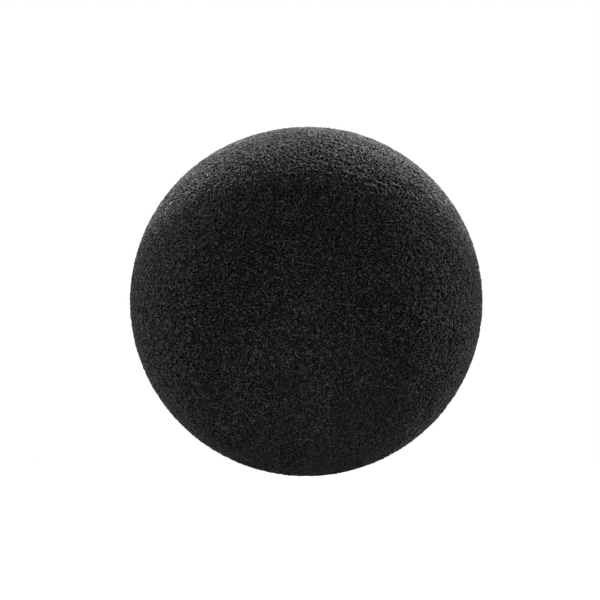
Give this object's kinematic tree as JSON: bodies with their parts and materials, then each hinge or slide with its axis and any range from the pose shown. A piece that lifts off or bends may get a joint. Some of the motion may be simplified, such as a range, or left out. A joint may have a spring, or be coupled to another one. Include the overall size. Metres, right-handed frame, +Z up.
{
  "type": "microphone windscreen",
  "caption": "Ball-shaped open-cell foam windscreen on a lattice basket, with a lock ring and a rubber boot that grips the microphone.",
  "frame": {"origin": "centre of the boot's grip bore, at its rear end where the microphone goes in", "axes": "+Y along the microphone towards its rear end, the foam ball's closed front faces -Y, +Z up"},
  "size_m": [0.1, 0.1248, 0.1],
  "materials": {
    "foam": "open-cell foam, matt",
    "boot_rubber": "satin",
    "band_rubber": "satin",
    "moulded_plastic": "fine spark texture",
    "ring_plastic": "satin",
    "washer_plastic": "smooth",
    "basket_plastic": "satin",
    "gauze_cloth": "fine woven gauze",
    "blackened_steel": "black oxide",
    "brass": "turned"
  },
  "bodies": {
    "collar": {"collar": "moulded_plastic", "rear_plate": "moulded_plastic", "mic_boot": "boot_rubber", "grip_band": "band_rubber", "slip_washer": "washer_plastic", "base_gasket": "boot_rubber", "plate_screw_1": "blackened_steel", "plate_screw_2": "blackened_steel", "plate_screw_3": "blackened_steel", "plate_screw_4": "blackened_steel", "threaded_insert_1": "brass", "threaded_insert_2": "brass", "threaded_insert_3": "brass", "threaded_insert_4": "brass"},
    "lock_ring": {"lock_ring": "ring_plastic"},
    "basket": {"basket_barrel": "basket_plastic", "basket_dome": "basket_plastic", "gauze_sleeve": "gauze_cloth", "gauze_dome": "gauze_cloth"},
    "foam": {"foam_ball": "foam", "foam_mouth_ring": "ring_plastic"}
  },
  "joints": [
    {"name": "lock_turn", "type": "hinge", "parent": "collar", "child": "lock_ring", "pos_m": [0, -0.026, 0], "axis": [0, -1, 0], "range_deg": [0, 40]},
    {"name": "basket_pull", "type": "slide", "parent": "collar", "child": "basket", "axis": [0, -1, 0], "range_m": [0, 0.06]},
    {"name": "foam_pull", "type": "slide", "parent": "basket", "child": "foam", "axis": [0, -1, 0], "range_m": [0, 0.075]}
  ]
}
